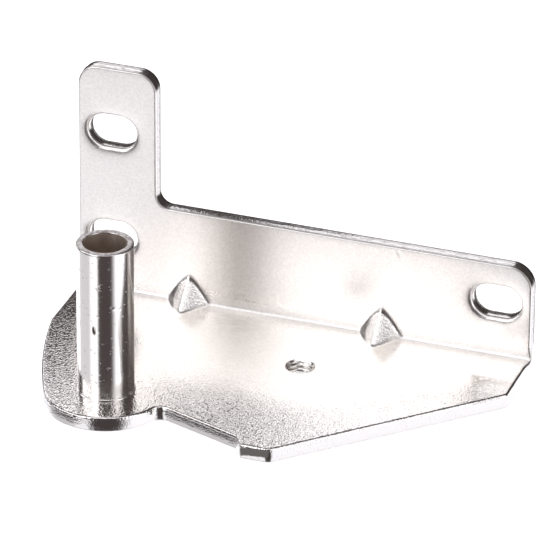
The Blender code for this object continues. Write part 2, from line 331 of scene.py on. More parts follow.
# Cards near the object: azimuth and elevation, distance, low and high corner, shade, width of the fade.
# The dark ones stand low behind the object, and the grey ones in front of it.
BEHIND = (math.pi + VIEW_AZIMUTH, VIEW_ELEVATION)
AHEAD = (-VIEW_AZIMUTH, VIEW_ELEVATION)
BELOW = (-VIEW_AZIMUTH, -VIEW_ELEVATION)
CARDS = (
    ("left_back_card", BEHIND, 120 * MM, mm(3, -60), mm(56, 15), DARK_ROOM, 0.0),
    ("middle_back_card", BEHIND, 120 * MM, mm(-37, -60), mm(3, 21), DARK_ROOM, 0.0),
    ("tall_back_card", BEHIND, 120 * MM, mm(-14, 20), mm(2, 42), DARK_ROOM, 0.0),
    ("front_card", AHEAD, 180 * MM, mm(-38, -34), mm(4, 14), FRONT_CARD, 16 * MM),
    ("edge_card", BELOW, 46 * MM, mm(51.2, 6.9), mm(60.4, 8.8), EDGE_CARD, 0.0),
)

# Floor
FLOOR_SIZE = 6.0
FLOOR_GAP = 0.02 * MM
FLOOR_PAINT = (0.9, 0.9, 0.9, 1.0)
FLOOR_ROUGHNESS = 0.9
FLOOR_GLOW = 0.45


def operator(name, swapped=False):
    """A method of Signal that does one step of maths with another value."""

    def run(signal, other):
        values = (other, signal) if swapped else (signal, other)
        return signal.net.maths(name, *values)

    return run


class Signal:
    """A socket's value in a node tree, so that arithmetic on it can be written as an expression."""

    __add__, __radd__ = operator("ADD"), operator("ADD", swapped=True)
    __sub__, __rsub__ = operator("SUBTRACT"), operator("SUBTRACT", swapped=True)
    __mul__, __rmul__ = operator("MULTIPLY"), operator("MULTIPLY", swapped=True)
    __truediv__ = operator("DIVIDE")
    __gt__ = operator("GREATER_THAN")

    def __init__(self, net, socket):
        self.net = net
        self.socket = socket

    def __neg__(self):
        return self.net.maths("MULTIPLY", self, -1.0)

    def __abs__(self):
        return self.net.maths("ABSOLUTE", self)


class Network:
    """A node tree, built from expressions on its sockets."""

    def __init__(self, tree):
        self.tree = tree

    def add(self, kind, settings=None, inputs=None):
        """A node of any kind. Its settings are set first, then its sockets get their values or links."""
        node = self.tree.nodes.new(kind)
        for name, value in (settings or {}).items():
            setattr(node, name, value)
        for key, value in (inputs or {}).items():
            self.feed(node.inputs[key], value)
        return node

    def feed(self, socket, value):
        if isinstance(value, Signal):
            self.tree.links.new(value.socket, socket)
        else:
            socket.default_value = value

    def out(self, node, key=0):
        return Signal(self, node.outputs[key])

    def make(self, kind, settings=None, inputs=None, key=0):
        """One output of a new node."""
        return self.out(self.add(kind, settings, inputs), key)

    def maths(self, operation, *values):
        return self.make("ShaderNodeMath", {"operation": operation}, dict(enumerate(values)))

    def least(self, one, other):
        return self.maths("MINIMUM", one, other)

    def most(self, one, other):
        return self.maths("MAXIMUM", one, other)

    def bell(self, value):
        """1 where the value is 0, falling off smoothly on both sides."""
        return self.maths("EXPONENT", -(value * value))

    def step(self, value, start, end):
        """Runs smoothly from 0 at start to 1 at end."""
        settings = {"interpolation_type": "SMOOTHSTEP"}
        inputs = {"Value": value, "From Min": start, "From Max": end}
        return self.make("ShaderNodeMapRange", settings, inputs, "Result")

    def band(self, value, stops):
        """Runs smoothly from 0 to 1 between the first two stops and back to 0 between the last two."""
        begins, whole, fades, ends = stops
        return self.step(value, begins, whole) * self.step(value, ends, fades)

    def attribute(self, name):
        return self.make("ShaderNodeAttribute", {"attribute_name": name}, key="Fac")

    def split(self, vector):
        node = self.add("ShaderNodeSeparateXYZ", inputs={0: vector})
        return [self.out(node, key) for key in range(3)]

    def join(self, x, y, z):
        return self.make("ShaderNodeCombineXYZ", inputs={0: x, 1: y, 2: z})

    def noise(self, place, size, detail):
        """Smooth noise from 0 to 1, with spots of about the given size."""
        inputs = {"Vector": place, "Scale": 1 / size, "Detail": detail}
        return self.make("ShaderNodeTexNoise", inputs=inputs)

    def mix_colour(self, factor, one, other):
        inputs = {"Factor": factor, 6: one, 7: other}
        return self.make("ShaderNodeMix", {"data_type": "RGBA"}, inputs, 2)

    def position(self):
        return self.make("GeometryNodeInputPosition")

    def moved(self, geometry, place):
        """The geometry with each of its points at a new place."""
        return self.make("GeometryNodeSetPosition", inputs={"Geometry": geometry, "Position": place})

    def coordinates(self, key):
        return self.make("ShaderNodeTexCoord", key=key)


def angle_of(vector):
    return math.atan2(vector.y, vector.x)


def arc(centre, radius, start, end):
    """Points along an arc, both ends included."""
    step = min(ARC_STEP, EDGE_STEP / radius)
    steps = max(2, math.ceil(abs(end - start) / step))
    angles = [start + (end - start) * i / steps for i in range(steps + 1)]
    return [centre + radius * Vector((math.cos(a), math.sin(a))) for a in angles]


def rounded(before, corner, after, radius):
    """The arc that rounds a corner between two straight edges."""
    back = (before - corner).normalized()
    on = (after - corner).normalized()
    half = back.angle(on) / 2
    centre = corner + (back + on).normalized() * radius / math.sin(half)
    first = corner + back * radius / math.tan(half) - centre
    last = corner + on * radius / math.tan(half) - centre
    turn = (angle_of(last) - angle_of(first) + math.pi) % math.tau - math.pi
    return arc(centre, radius, angle_of(first), angle_of(first) + turn)


def densify(points):
    """The closed outline with its long edges divided."""
    dense = []
    for here, there in zip(points, points[1:] + points[:1]):
        parts = max(1, math.ceil((there - here).length / EDGE_STEP))
        dense += [here.lerp(there, i / parts) for i in range(parts)]
    return np.array([(p.x, p.y) for p in dense])


def flat_plate(point):
    """Where a point of the plate lies on the blank, whose fold begins at V = 0."""
    return Vector((point.x, point.y - FOLD_Y))


def flat_flange(point):
    return Vector((point.x, FOLD_LENGTH + point.y - FOLD_Z))


def plate_outline():
    """The plate from its left corner round the lobe and the front to its right corner."""
    corner = Vector((LEFT_END, PIN.y + SIDE_CORNER_Y))
    to_corner = corner - PIN
    centre_distance = SIDE_ARC_RADIUS - LOBE_RADIUS
    cosine = centre_distance**2 + to_corner.length_squared - SIDE_ARC_RADIUS**2
    cosine /= 2 * centre_distance * to_corner.length
    toward = angle_of(to_corner) - math.acos(cosine)
    side_centre = PIN + centre_distance * Vector((math.cos(toward), math.sin(toward)))
    side_start = angle_of(corner - side_centre) % math.tau
    side_end = toward + math.pi
    side = arc(side_centre, SIDE_ARC_RADIUS, side_start, side_end)
    clear = [p for p in side if (p - corner).length > SIDE_CORNER_RADIUS]
    soft_corner = rounded(Vector((LEFT_END, 0.0)), corner, clear[0], SIDE_CORNER_RADIUS)
    along = Vector((math.cos(SLOPE_ANGLE), math.sin(SLOPE_ANGLE)))
    inward = Vector((-along.y, along.x))
    drop = SLOPE_OFFSET - LOBE_FILLET_RADIUS
    reach = math.sqrt((LOBE_RADIUS + LOBE_FILLET_RADIUS) ** 2 - drop**2)
    fillet_centre = PIN + drop * inward + reach * along
    lobe_end = angle_of(fillet_centre - PIN) + math.tau
    lobe = arc(PIN, LOBE_RADIUS, side_end, lobe_end)
    fillet = arc(fillet_centre, LOBE_FILLET_RADIUS, lobe_end - math.pi, angle_of(inward))
    slope_end = fillet[-1] + along * (JOG_LEFT - fillet[-1].x) / along.x
    jog_foot = Vector((JOG_RIGHT, FRONT))
    right_corner = Vector((RIGHT_END, PIN.y + RIGHT_CORNER_Y))
    front_corner = Vector((RIGHT_END - (right_corner.y - FRONT), FRONT))
    fold_end = Vector((RIGHT_END, 0.0))
    return (
        soft_corner
        + clear[1:]
        + lobe[1:]
        + fillet[1:]
        + rounded(fillet[-1], slope_end, jog_foot, JOG_CORNER_RADIUS)
        + rounded(slope_end, jog_foot, front_corner, JOG_CORNER_RADIUS)
        + rounded(jog_foot, front_corner, right_corner, FRONT_CORNER_RADIUS)
        + rounded(front_corner, right_corner, fold_end, RIGHT_CORNER_RADIUS)
    )


def flange_outline():
    """The flange and its ear from the right end round to the left, in X and Z."""
    corner = Vector((RIGHT_END - FLANGE_CORNER_RADIUS, FLANGE_TOP - FLANGE_CORNER_RADIUS))
    inner = Vector((EAR_RIGHT + EAR_FILLET_RADIUS, FLANGE_TOP + EAR_FILLET_RADIUS))
    ear_a = Vector((EAR_RIGHT - EAR_CORNER_RADIUS, EAR_TOP - EAR_CORNER_RADIUS))
    ear_b = Vector((LEFT_END + EAR_CORNER_RADIUS, EAR_TOP - EAR_CORNER_RADIUS))
    return (
        arc(corner, FLANGE_CORNER_RADIUS, 0, RIGHT_ANGLE)
        + arc(inner, EAR_FILLET_RADIUS, 3 * RIGHT_ANGLE, 2 * RIGHT_ANGLE)
        + arc(ear_a, EAR_CORNER_RADIUS, 0, RIGHT_ANGLE)
        + arc(ear_b, EAR_CORNER_RADIUS, RIGHT_ANGLE, 2 * RIGHT_ANGLE)
    )


def fold_rows():
    """V of the rows of points across the fold, with two more on either side."""
    return [FOLD_LENGTH * i / FOLD_ROWS for i in range(-2, FOLD_ROWS + 3)]


def rim_loop():
    plate = [flat_plate(p) for p in plate_outline()]
    flange = [flat_flange(p) for p in flange_outline()]
    right = [Vector((RIGHT_END, v)) for v in fold_rows()]
    left = [Vector((LEFT_END, v)) for v in reversed(fold_rows())]
    return densify(plate + right + flange + left)


def slot_loop(x, z):
    """An oval slot, which runs the other way round from the rim."""
    centre = flat_flange(Vector((x, z)))
    offset = Vector(((SLOT_LENGTH - SLOT_WIDTH) / 2, 0.0))
    left = arc(centre - offset, SLOT_WIDTH / 2, 3 * RIGHT_ANGLE, RIGHT_ANGLE)
    right = arc(centre + offset, SLOT_WIDTH / 2, RIGHT_ANGLE, -RIGHT_ANGLE)
    return densify(left + right)


def round_loop(centre, radius):
    """A round hole in the plate, with evenly spaced points that another mesh can meet."""
    turns = -math.tau * np.arange(HOLE_STEPS) / HOLE_STEPS
    middle = flat_plate(centre)
    return np.stack([middle.x + radius * np.cos(turns), middle.y + radius * np.sin(turns)], axis=1)


def distance_to(loop, points):
    """Distance from each point to a closed loop."""
    nearest = np.full(len(points), np.inf)
    for here, span in zip(loop, np.roll(loop, -1, axis=0) - loop):
        share = np.clip(((points - here) @ span) / (span @ span), 0, 1)
        gap = points - here - share[:, None] * span
        nearest = np.minimum(nearest, np.hypot(gap[:, 0], gap[:, 1]))
    return nearest


def inside(loop, points):
    """Whether each point lies inside a closed loop."""
    crossed = np.zeros(len(points), bool)
    for here, there in zip(loop, np.roll(loop, -1, axis=0)):
        spans = (here[1] > points[:, 1]) != (there[1] > points[:, 1])
        rise = there[1] - here[1] if there[1] != here[1] else 1.0
        across = here[0] + (points[:, 1] - here[1]) * (there[0] - here[0]) / rise
        crossed ^= spans & (points[:, 0] < across)
    return crossed


def inset(loop, distance):
    """The loop moved into the material, on its left."""
    ahead = np.roll(loop, -1, axis=0) - loop
    behind = np.roll(ahead, 1, axis=0)
    tangent = ahead / np.linalg.norm(ahead, axis=1)[:, None]
    tangent = tangent + behind / np.linalg.norm(behind, axis=1)[:, None]
    tangent /= np.linalg.norm(tangent, axis=1)[:, None]
    return loop + distance * np.stack([-tangent[:, 1], tangent[:, 0]], axis=1)


def is_rolled(name):
    """Whether the loop of this name has a rolled edge, which the rim and the slots have."""
    return name == "rim" or name.startswith("slot")


def ring_offsets(name):
    """Distances from one loop of the rows of points that carry its rolled edge."""
    width = ROLL_WIDTH * (1.0 if name == "rim" else SLOT_ROLL_SHARE)
    roll = [width * (1 - math.sin(RIGHT_ANGLE * i / ROLL_STEPS)) for i in range(ROLL_STEPS)]
    return sorted(roll) + [width + gap for gap in ROW_GAPS]


def nick_places():
    """Centre on the blank, half width and half length of each nick."""
    plate = [(flat_plate(Vector((x, y))), w, l) for x, y, w, l in PLATE_NICKS]
    flange = [(flat_flange(Vector((x, z))), w, l) for x, z, w, l in FLANGE_NICKS]
    return plate + flange


def lattice(us, vs):
    grid = np.meshgrid(us, vs)
    return np.stack([grid[0].ravel(), grid[1].ravel()], axis=1)


def blank_points(loops):
    """Points that the blank's faces need besides its outlines, fine at the edges, the fold and the darts."""
    rows = fold_rows()
    reach = DART_REACH + PATCH_RUN
    beyond = np.arange(DART_STEP, reach, DART_STEP)
    dart_vs = np.concatenate([rows[0] - beyond, rows, rows[-1] + beyond])
    parts = [lattice(np.arange(x - PATCH_HALF, x + PATCH_HALF, DART_STEP), dart_vs) for x in DART_XS]
    fold_us = [
        u
        for u in np.arange(LEFT_END, RIGHT_END, FOLD_STEP)
        if all(abs(u - x) > PATCH_HALF + PATCH_FOLD_GAP for x in DART_XS)
    ]
    parts.append(lattice(fold_us, rows))
    parts.append(coarse_points(rows, reach))
    for centre, _, length in nick_places():
        spread = np.arange(-length - NICK_MARGIN, length + NICK_MARGIN, NICK_STEP)
        parts.append(lattice(centre.x + spread, centre.y + spread))
    points = np.concatenate(parts)
    within = inside(loops["rim"], points)
    for name, loop in loops.items():
        spare = ring_offsets(name)[-1] if is_rolled(name) else HOLE_GAP
        within &= distance_to(loop, points) > spare + ROWS_GAP
    points = [points[within]]
    for name, loop in loops.items():
        if is_rolled(name):
            points += [ring_points(loop, offset) for offset in ring_offsets(name)]
    return np.concatenate(points)


def coarse_points(rows, reach):
    """A wide grid over the whole blank, clear of the fold and the darts."""
    low = FRONT - FOLD_Y
    high = flat_flange(Vector((0.0, EAR_TOP))).y
    grid = lattice(np.arange(LEFT_END, RIGHT_END, GRID_STEP), np.arange(low, high, GRID_STEP))
    u, v = grid[:, 0], grid[:, 1]
    taken = (v > rows[0] - FOLD_GRID_GAP) & (v < rows[-1] + FOLD_GRID_GAP)
    for x in DART_XS:
        across = np.abs(u - x) < PATCH_HALF + PATCH_GRID_GAP
        taken |= across & (v > rows[0] - reach) & (v < rows[-1] + reach)
    return grid[~taken]


def ring_points(loop, offset):
    """Points of one inset row, without those that crowd together round a corner."""
    ring = inset(loop, offset)
    ring = ring[distance_to(loop, ring) > ROW_CLEAR * offset]
    kept = [ring[0]]
    for point in ring[1:]:
        if np.hypot(*(point - kept[-1])) > ROW_CROWD:
            kept.append(point)
    return np.array(kept)


def rolled(distance, draw_in, share):
    """How far the punch drew the face down at a distance from a cut edge, for its share of the full roll."""
    near = np.clip(1 - distance / (ROLL_WIDTH * share), 0, 1)
    return ROLL_DEPTH * share * (1 - np.sqrt(1 - near**2)) + draw_in * np.exp(-distance / DRAW_REACH)


def sink_of(points, loops):
    """Depth of the inner face below its plane at each point, and distance to the nearest rolled edge."""
    rim = distance_to(loops["rim"], points)
    slots = [distance_to(loop, points) for name, loop in loops.items() if name.startswith("slot")]
    slot = np.min(slots, axis=0)
    share = np.interp(points[:, 1], CUT_CHANGE, (1.0, FLANGE_ROLL_SHARE))
    wobble = 1 + ROLL_WOBBLE * uneven(points, ROLL_WOBBLE_SIZE)
    rim_sink = rolled(rim, RIM_DRAW_IN, share * wobble)
    sink = np.maximum(rim_sink, rolled(slot, SLOT_DRAW_IN, SLOT_ROLL_SHARE * wobble))
    for centre, width, length in nick_places():
        across = (points[:, 0] - centre.x) / width
        along = (points[:, 1] - centre.y) / length
        sink += NICK_DEPTH * np.exp(-(across**2) - along**2)
    return sink, np.minimum(rim, slot)


def make_blank():
    """The flat blank as a closed mesh: X, V along the developed sheet, and depth below the inner face."""
    loops = {"rim": rim_loop()}
    for number, (x, z) in enumerate(SLOT_CENTRES, 1):
        loops[f"slot_{number}"] = slot_loop(x, z)
    loops["tapped_hole"] = round_loop(TAP, TAP_MOUTH)
    loops["pin_hole"] = round_loop(PIN, PIN_RADIUS + PIN_SEAT)
    points = np.concatenate([*loops.values(), blank_points(loops)])
    fences = []
    first = 0
    for loop in loops.values():
        ids = np.arange(first, first + len(loop))
        fences += list(zip(ids.tolist(), np.roll(ids, -1).tolist()))
        first += len(loop)
    coords = [Vector(p) for p in points / MM]
    flat, _, triangles, _, _, _ = delaunay_2d_cdt(coords, fences, [], 0, WELD)
    points = np.array([(p.x, p.y) for p in flat]) * MM
    triangles = np.array(triangles)
    centres = points[triangles].mean(axis=1)
    within = inside(loops["rim"], centres)
    for name, loop in loops.items():
        if name != "rim":
            within &= ~inside(loop, centres)
    triangles = triangles[within]
    sink, edge_gap = sink_of(points, loops)
    under = BURR_ROUND * (1 - np.sqrt(1 - np.clip(1 - edge_gap / BURR_ROUND, 0, 1) ** 2))
    return build_blank(points, triangles, sink, under, loops)


def splay(points):
    """The outer face, with the pin's hole opened to its countersink."""
    middle = np.array(flat_plate(PIN))
    gap = points - middle
    radius = np.hypot(gap[:, 0], gap[:, 1])
    shift = PIN_SWAGE * np.clip(1 - (radius - PIN_RADIUS - PIN_SEAT) / SPLAY_REACH, 0, 1)
    return middle + gap * (1 + shift / radius)[:, None]


def build_blank(points, triangles, sink, under, loops):
    """Both faces of the blank from one set of triangles, and the walls of its cut edges."""
    bm = bmesh.new()
    cut_layer = bm.verts.layers.float.new("cut_face")
    top = [bm.verts.new((x, v, -depth)) for (x, v), depth in zip(points.tolist(), sink.tolist())]
    opened = splay(points)
    bottom = [bm.verts.new((x, v, depth - SHEET)) for (x, v), depth in zip(opened.tolist(), under.tolist())]
    for a, b, c in triangles.tolist():
        corners = points[[a, b, c]]
        if np.cross(corners[1] - corners[0], corners[2] - corners[0]) < 0:
            b, c = c, b
        bm.faces.new((top[a], top[b], top[c]))
        bm.faces.new((bottom[a], bottom[c], bottom[b]))
    first = 0
    for name, loop in loops.items():
        ids = list(range(first, first + len(loop)))
        first += len(loop)
        if name != "tapped_hole":
            add_wall(bm, loop, [top[i] for i in ids], [bottom[i] for i in ids], name, cut_layer)
    for vert in list(bm.verts):
        if not vert.link_faces:
            bm.verts.remove(vert)
    mesh = bpy.data.meshes.new("bracket_blank")
    bm.to_mesh(mesh)
    bm.free()
    return mesh


def wall_rows(loop, name):
    """Rows of points between the two faces: depth and inset at each point of the loop, and cut_face value."""
    if name == "pin_hole":
        return [(np.full(len(loop), SHEET - PIN_SWAGE), np.zeros(len(loop)), 0.0)]
    start = ROLL_DEPTH + RIM_DRAW_IN if name == "rim" else ROLL_DEPTH * SLOT_ROLL_SHARE + SLOT_DRAW_IN
    lean = SHEAR_LEAN if name == "rim" else 0.0
    tear = np.interp(loop[:, 1], CUT_CHANGE, (PLATE_TEAR, FLANGE_TEAR))
    tear = tear + TEAR_WOBBLE * uneven(loop, TEAR_WOBBLE_SIZE)
    torn = SHEET - BURR_ROUND - tear
    rows = []
    for share in SHEARED_ROWS:
        rows.append((start + share * (tear - start), np.full(len(loop), -share * lean), SHEARED))
    for share in TORN_ROWS:
        inward = (share * torn - TEAR_LIP) * math.tan(TEAR_ANGLE) - lean
        rows.append((tear + share * torn, inward, TORN))
    return rows


def uneven(points, size):
    """Smooth irregular values between -1 and 1 along an outline."""
    x, v = points[:, 0] / size, points[:, 1] / size
    return (np.sin(1.9 * x + 0.7 * v) + np.sin(2.3 * v - 1.1 * x + 2) + np.sin(5.3 * x + 4.1 * v + 4)) / 3


def add_wall(bm, loop, top, bottom, name, cut_layer):
    """The cut face round one loop: a bright sheared band above a fracture that tapers in."""
    rows = [top]
    for down, inward, cut in wall_rows(loop, name):
        places = inset(loop, inward[:, None]).tolist()
        row = [bm.verts.new((x, v, -depth)) for (x, v), depth in zip(places, down.tolist())]
        for vert in row:
            vert[cut_layer] = cut
        rows.append(row)
    rows.append(bottom)
    for high, low in zip(rows, rows[1:]):
        for i in range(len(high)):
            bm.faces.new((high[i - 1], low[i - 1], low[i], high[i]))


def new_tree(name, sizes):
    """A geometry tree with an input for each size. Returns its network and its inputs."""
    tree = bpy.data.node_groups.new(name, "GeometryNodeTree")
    tree.interface.new_socket("Geometry", in_out="INPUT", socket_type="NodeSocketGeometry")
    for size, value in sizes.items():
        kind = "NodeSocketInt" if isinstance(value, int) else "NodeSocketFloat"
        tree.interface.new_socket(size, in_out="INPUT", socket_type=kind)
    tree.interface.new_socket("Material", in_out="INPUT", socket_type="NodeSocketMaterial")
    tree.interface.new_socket("Geometry", in_out="OUTPUT", socket_type="NodeSocketGeometry")
    net = Network(tree)
    start = net.add("NodeGroupInput")
    return net, {socket.name: net.out(start, socket.name) for socket in start.outputs if socket.name}


def end_tree(net, geometry, material):
    """Realizes instances, sets the material and ends the tree."""
    whole = net.make("GeometryNodeRealizeInstances", inputs={0: geometry})
    made = net.make("GeometryNodeSetMaterial", inputs={"Geometry": whole, "Material": material})
    net.add("NodeGroupOutput", inputs={0: made})
    return net.tree


def new_object(name, data):
    """An object in the scene."""
    obj = bpy.data.objects.new(name, data)
    bpy.context.scene.collection.objects.link(obj)
    return obj


def run_tree(name, mesh, make_tree, sizes, material):
    """Makes a geometry tree, runs it on a mesh and returns the result as a plain object."""
    tree = make_tree(sizes)
    values = {**sizes, "Material": material}
    obj = new_object(name, mesh)
    modifier = obj.modifiers.new(tree.name, "NODES")
    modifier.node_group = tree
    for item in tree.interface.items_tree:
        if item.in_out == "INPUT" and item.name in values:
            modifier[item.identifier] = values[item.name]
    bpy.context.view_layer.update()
    graph = bpy.context.evaluated_depsgraph_get()
    result = bpy.data.meshes.new_from_object(obj.evaluated_get(graph))
    obj.modifiers.clear()
    obj.data = result
    return obj


def dart_lift(net, size, x, y, z, depth, place):
    """How far a dart pushes the sheet out of the corner of the fold, along the bisector."""
    half = size["Dart Half Width"]
    top = size["Dart Reach"] / math.sqrt(2)
    crest = top - top * net.maths("POWER", abs(x - place) / half, size["Dart Fullness"])
    slant = net.maths("SQRT", half * half + top * top) / half
    out = (z - size["Plate Top"] - (y + size["Sheet"])) / math.sqrt(2)
    return net.maths("SMOOTH_MAX", crest + depth * slant - out, 0.0, size["Dart Blend"])


def press_and_fold_tree(sizes):
    """Folds the blank up along V = 0 and presses the darts into the fold."""
    net, size = new_tree("press_and_fold", sizes)
    x, v, depth = net.split(net.position())
    radius = size["Bend Radius"]
    turn = net.least(net.most(v / radius, 0.0), RIGHT_ANGLE)
    y = size["Fold Y"] + net.least(v, 0.0) + (radius - depth) * net.maths("SINE", turn)
    z = size["Plate Top"] + radius - (radius - depth) * net.maths("COSINE", turn)
    z = z + net.most(v - radius * RIGHT_ANGLE, 0.0)
    # The sheet swells at the ends of the fold on its inner side and draws in on its outer side.
    swell = net.bell((v - radius * RIGHT_ANGLE / 2) / (SWELL_WIDTH * radius))
    swell = swell * (1 + SWELL_TURN * depth / size["Sheet"])
    right = net.maths("EXPONENT", (x - size["Right End"]) / size["Bulge Reach"])
    left = net.maths("EXPONENT", (size["Left End"] - x) / size["Bulge Reach"])
    bulged = x + size["Fold Bulge"] * swell * (right - left)
    lift = 0.0
    for number in range(1, len(DART_XS) + 1):
        lift = dart_lift(net, size, x, y, z, depth, size[f"Dart {number}"]) + lift
    lift = lift / math.sqrt(2)
    settings = {"data_type": "FLOAT", "domain": "POINT"}
    inputs = {"Geometry": size["Geometry"], "Name": "lift", "Value": lift}
    marked = net.make("GeometryNodeStoreNamedAttribute", settings, inputs)
    place = net.join(bulged, y - lift, z + lift)
    return end_tree(net, net.moved(marked, place), size["Material"])


def unit_grid(net, across, along):
    """A grid of one metre each way round the origin, with the given numbers of vertices."""
    inputs = {"Size X": 1.0, "Size Y": 1.0, "Vertices X": across, "Vertices Y": along}
    return net.make("GeometryNodeMeshGrid", inputs=inputs)


def thread_tree(sizes):
    """The wall of the tapped hole: a 60 degree thread between two countersinks, round the Z axis."""
    net, size = new_tree("tapped_wall", sizes)
    grid = unit_grid(net, size["Turn Steps"], size["Depth Steps"])
    across, along, _ = net.split(net.position())
    angle = across * math.tau
    depth = (0.5 - along) * size["Sheet"]
    phase = net.maths("FRACT", depth / size["Pitch"] + across + 1.0)
    wave = abs(2 * phase - 1)
    flat = net.least(net.most(wave * THREAD_SLOPE - THREAD_FLAT, 0.0), 1.0)
    radius = size["Minor Radius"] + (size["Major Radius"] - size["Minor Radius"]) * flat
    sink = size["Mouth Radius"] - net.least(depth, size["Sheet"] - depth)
    radius = net.most(radius, sink)
    x, y = radius * net.maths("COSINE", angle), radius * net.maths("SINE", angle)
    place = net.join(x, y, size["Top"] - depth)
    return end_tree(net, net.moved(grid, place), size["Material"])


def turn_tree(sizes):
    """Turns a closed section, drawn in X and Z, round the Z axis, and presses marks into its outer side."""
    net, size = new_tree("turned_tube", sizes)
    section = size["Geometry"]
    count = net.make("GeometryNodeAttributeDomainSize", {"component": "MESH"}, {0: section}, "Point Count")
    grid = unit_grid(net, size["Turn Steps"] + 1, count + 1)
    position = net.position()
    across, along, _ = net.split(position)
    row = net.maths("MODULO", net.maths("ROUND", (along + 0.5) * count), count)
    settings = {"data_type": "FLOAT_VECTOR", "domain": "POINT"}
    inputs = {"Geometry": section, "Value": position, "Index": row}
    radius, _, height = net.split(net.make("GeometryNodeSampleIndex", settings, inputs))
    angle = across * math.tau
    press = 0.0
    for turn, rise, half_width, half_length, deep in PIN_MARKS:
        beside = (angle - math.radians(turn)) * size["Outer Radius"] / half_width
        above = (height - size["Plate Top"] - rise) / half_length
        press = deep * net.bell(beside) * net.bell(above) + press
    outer = radius > size["Outer Radius"] * PIN_SKIN
    radius = radius - press * outer
    place = net.join(radius * net.maths("SINE", angle), -radius * net.maths("COSINE", angle), height)
    inputs = {"Geometry": net.moved(grid, place), "Distance": WELD}
    return end_tree(net, net.make("GeometryNodeMergeByDistance", inputs=inputs), size["Material"])


def quarter(centre_x, centre_z, radius, start):
    """A quarter turn of the pin's section, run clockwise from a start angle in quarter turns."""
    turns = [RIGHT_ANGLE * (start - i / ROUND_STEPS) for i in range(ROUND_STEPS + 1)]
    return [(centre_x + radius * math.cos(a), centre_z + radius * math.sin(a)) for a in turns]


def pin_section():
    """The pin's section, down its outer side and back up its bore, as a closed line of edges."""
    foot = UNDERSIDE
    side_top = PIN_TOP - PIN_OUTER_ROUND
    side_low = PLATE_TOP + 2 * PIN_BEAD
    side_rows = math.ceil((side_top - side_low) / PIN_ROW)
    side_step = (side_low - side_top) / side_rows
    outer = quarter(PIN_RADIUS - PIN_OUTER_ROUND, side_top, PIN_OUTER_ROUND, 1)
    outer += [(PIN_RADIUS, side_top + side_step * i) for i in range(1, side_rows + 1)]
    outer += quarter(PIN_RADIUS, PLATE_TOP + PIN_BEAD, PIN_BEAD, 1)[1:]
    outer += [(PIN_RADIUS + PIN_BEAD, PLATE_TOP), (PIN_RADIUS, PLATE_TOP)]
    outer += [(PIN_RADIUS, foot + PIN_SWAGE), (PIN_RADIUS + PIN_SWAGE, foot)]
    bore_low = foot + PIN_SWAGE
    bore_top = PIN_TOP - PIN_BORE_ROUND
    bore_step = (bore_top - bore_low) / BORE_ROWS
    bore = [(PIN_BORE_RADIUS + PIN_SWAGE, foot), (PIN_BORE_RADIUS, bore_low)]
    bore += [(PIN_BORE_RADIUS, bore_low + bore_step * i) for i in range(1, BORE_ROWS)]
    bore += quarter(PIN_BORE_RADIUS + PIN_BORE_ROUND, bore_top, PIN_BORE_ROUND, 2)
    points = [(x, 0.0, z) for x, z in outer + bore]
    mesh = bpy.data.meshes.new("pin_section")
    mesh.from_pydata(points, [(i, (i + 1) % len(points)) for i in range(len(points))], [])
    return mesh


def finish_mesh(mesh):
    """Welds doubles, turns the faces outwards and shades the mesh smooth up to a sharp angle."""
    bm = bmesh.new()
    bm.from_mesh(mesh)
    bmesh.ops.remove_doubles(bm, verts=bm.verts, dist=WELD)
    bmesh.ops.recalc_face_normals(bm, faces=bm.faces)
    bm.to_mesh(mesh)
    bm.free()
    mesh.shade_smooth()
    mesh.set_sharp_from_angle(angle=SHARP_ANGLE)


def make_bracket(material):
    """The folded sheet, with the thread of its tapped hole joined on."""
    sizes = {
        "Sheet": SHEET,
        "Bend Radius": BEND_RADIUS,
        "Fold Y": FOLD_Y,
        "Plate Top": PLATE_TOP,
        "Left End": LEFT_END,
        "Right End": RIGHT_END,
        "Fold Bulge": FOLD_BULGE,
        "Bulge Reach": FOLD_BULGE_REACH,
        "Dart Reach": DART_REACH,
        "Dart Half Width": DART_HALF_WIDTH,
        "Dart Fullness": DART_FULLNESS,
        "Dart Blend": DART_BLEND,
    }
    sizes.update({f"Dart {number}": x for number, x in enumerate(DART_XS, 1)})
    bracket = run_tree("plated_bracket", make_blank(), press_and_fold_tree, sizes, material)
    thread = make_thread(material)
    bm = bmesh.new()
    bm.from_mesh(bracket.data)
    before = len(bm.verts)
    bm.from_mesh(thread.data)
    bm.verts.ensure_lookup_table()
    bmesh.ops.translate(bm, verts=bm.verts[before:], vec=TAP.to_3d())
    bm.to_mesh(bracket.data)
    bm.free()
    bpy.data.objects.remove(thread, do_unlink=True)
    finish_mesh(bracket.data)
    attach(bracket, "root")
    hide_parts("bracket")


def make_thread(material):
    """The wall of the tapped hole, with its axis on the Z axis."""
    sizes = {
        "Minor Radius": THREAD_MINOR,
        "Major Radius": THREAD_MAJOR,
        "Mouth Radius": TAP_MOUTH,
        "Pitch": THREAD_PITCH,
        "Top": PLATE_TOP,
        "Sheet": SHEET,
        "Turn Steps": HOLE_STEPS + 1,
        "Depth Steps": THREAD_ROWS,
    }
    return run_tree("tapped_wall", bpy.data.meshes.new("empty"), thread_tree, sizes, material)


def make_pin(material):
    """The hollow pin, turned from its section and moved to its place on the plate."""
    sizes = {"Outer Radius": PIN_RADIUS, "Plate Top": PLATE_TOP, "Turn Steps": TURN_STEPS}
    pin = run_tree("plated_pin", pin_section(), turn_tree, sizes, material)
    for vert in pin.data.vertices:
        vert.co += PIN.to_3d()
    finish_mesh(pin.data)
    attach(pin, "root")
    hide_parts("hinge_pin")


def empty_network(owner):
    """The network of a material or a world, without its first nodes."""
    owner.use_nodes = True
    owner.node_tree.nodes.clear()
    return Network(owner.node_tree)


